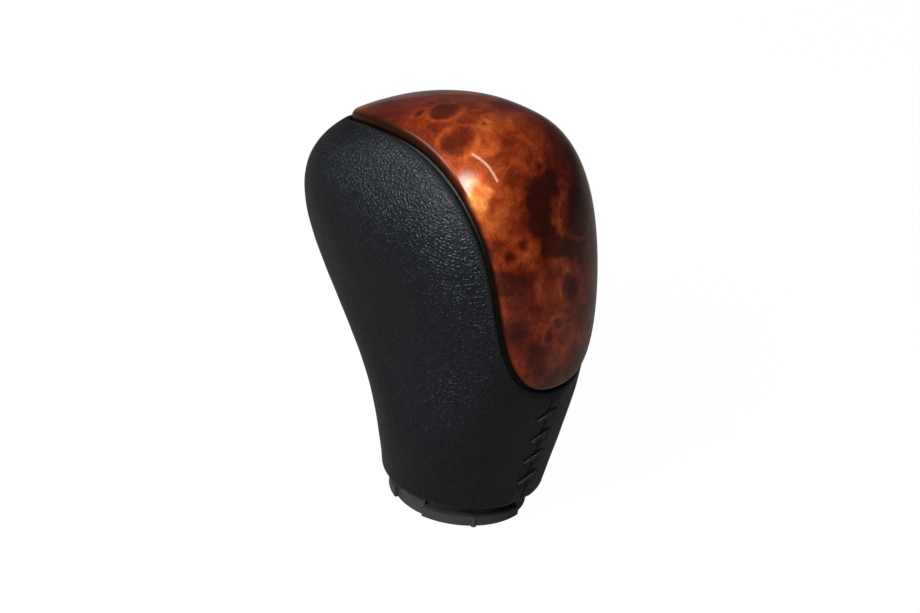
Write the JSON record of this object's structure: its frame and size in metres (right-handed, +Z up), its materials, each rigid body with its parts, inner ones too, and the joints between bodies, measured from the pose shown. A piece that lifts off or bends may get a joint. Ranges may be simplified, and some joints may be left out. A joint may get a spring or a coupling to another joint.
{
  "type": "gear shift knob",
  "caption": "Leather-wrapped gear shift knob with a glossy burl trim over its crown and front, and a threaded well for the lever.",
  "frame": {"origin": "on the lever's axis at the collar's lower face", "axes": "+Z up the lever's axis, +X towards the burl front, the head overhangs towards -X"},
  "size_m": [0.066, 0.0442, 0.0842],
  "materials": {
    "core_plastic": "moulded black plastic",
    "insert_brass": "turned brass",
    "wrap_leather": "black grained leather with a satin sheen",
    "lacing_thread": "waxed twisted thread",
    "burl_wood": "burl under clear gloss lacquer",
    "collar_plastic": "moulded dark grey plastic"
  },
  "bodies": {
    "root": {"grip_core": "core_plastic", "thread_insert": "insert_brass", "leather_wrap": "wrap_leather", "seam_lacing": "lacing_thread", "wood_trim": "burl_wood", "base_collar": "collar_plastic"}
  },
  "joints": []
}
